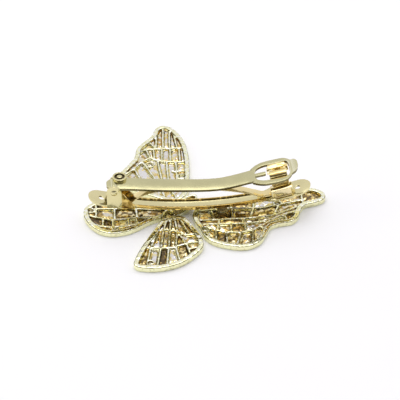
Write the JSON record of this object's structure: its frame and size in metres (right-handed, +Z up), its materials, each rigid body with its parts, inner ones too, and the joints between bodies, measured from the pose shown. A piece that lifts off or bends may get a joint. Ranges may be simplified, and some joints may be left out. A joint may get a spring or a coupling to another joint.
{
  "type": "butterfly hair barrette",
  "caption": "Open-work butterfly ornament with set stones, soldered to a French barrette clip with a hinged arm and a squeeze catch.",
  "frame": {"origin": "under the middle of the ornament's box, on the surface that the stone side lies on", "axes": "+X along the clip from its hinge to its catch, +Z up out of the back of the ornament through the clip; the butterfly's head points towards +X +Y"},
  "size_m": [0.0776, 0.075, 0.0176],
  "materials": {
    "gold_plated_casting": "pale gold plating on a polished zinc casting",
    "gold_plated_steel": "pale gold plating on polished pressed steel",
    "gold_plated_spring": "pale gold plating on spring steel strip",
    "foiled_crystal": "backs of foiled cut crystal stones",
    "clear_crystal": "round cut crystal",
    "solder": "plated solder"
  },
  "bodies": {
    "ornament": {"left_forewing_frame": "gold_plated_casting", "right_forewing_frame": "gold_plated_casting", "left_hindwing_frame": "gold_plated_casting", "right_hindwing_frame": "gold_plated_casting", "body_frame": "gold_plated_casting", "left_forewing_stones": "foiled_crystal", "right_forewing_stones": "foiled_crystal", "left_hindwing_stones": "foiled_crystal", "right_hindwing_stones": "foiled_crystal", "body_stones": "foiled_crystal", "round_stones": "clear_crystal", "solder_pads": "solder", "base_plate": "gold_plated_steel", "hinge_pin": "gold_plated_steel", "catch_foot": "gold_plated_spring", "catch_rivet": "gold_plated_steel", "bow_spring": "gold_plated_spring"},
    "arm": {"lock_arm": "gold_plated_steel", "arm_eyelet": "gold_plated_steel"},
    "near_leg": {"near_catch_leg": "gold_plated_spring"},
    "far_leg": {"far_catch_leg": "gold_plated_spring"}
  },
  "joints": [
    {"name": "arm_hinge", "type": "hinge", "parent": "ornament", "child": "arm", "pos_m": [-0.02895, -0.00954, 0.0122], "axis": [0, -1, 0], "range_deg": [0, 80], "deforming": ["bow_spring"]},
    {"name": "near_leg_squeeze", "type": "hinge", "parent": "ornament", "child": "near_leg", "pos_m": [0.0242, -0.01259, 0.00738], "axis": [-0.97, 0, -0.243], "range_deg": [0, 3], "stiffness_Nm_per_rad": 0.05},
    {"name": "far_leg_squeeze", "type": "hinge", "parent": "ornament", "child": "far_leg", "pos_m": [0.0242, -0.00649, 0.00738], "axis": [0.97, 0, 0.243], "range_deg": [0, 3], "stiffness_Nm_per_rad": 0.05}
  ],
  "couplings": [
    {"joint": "far_leg_squeeze", "follows": "near_leg_squeeze", "ratio": 1}
  ]
}
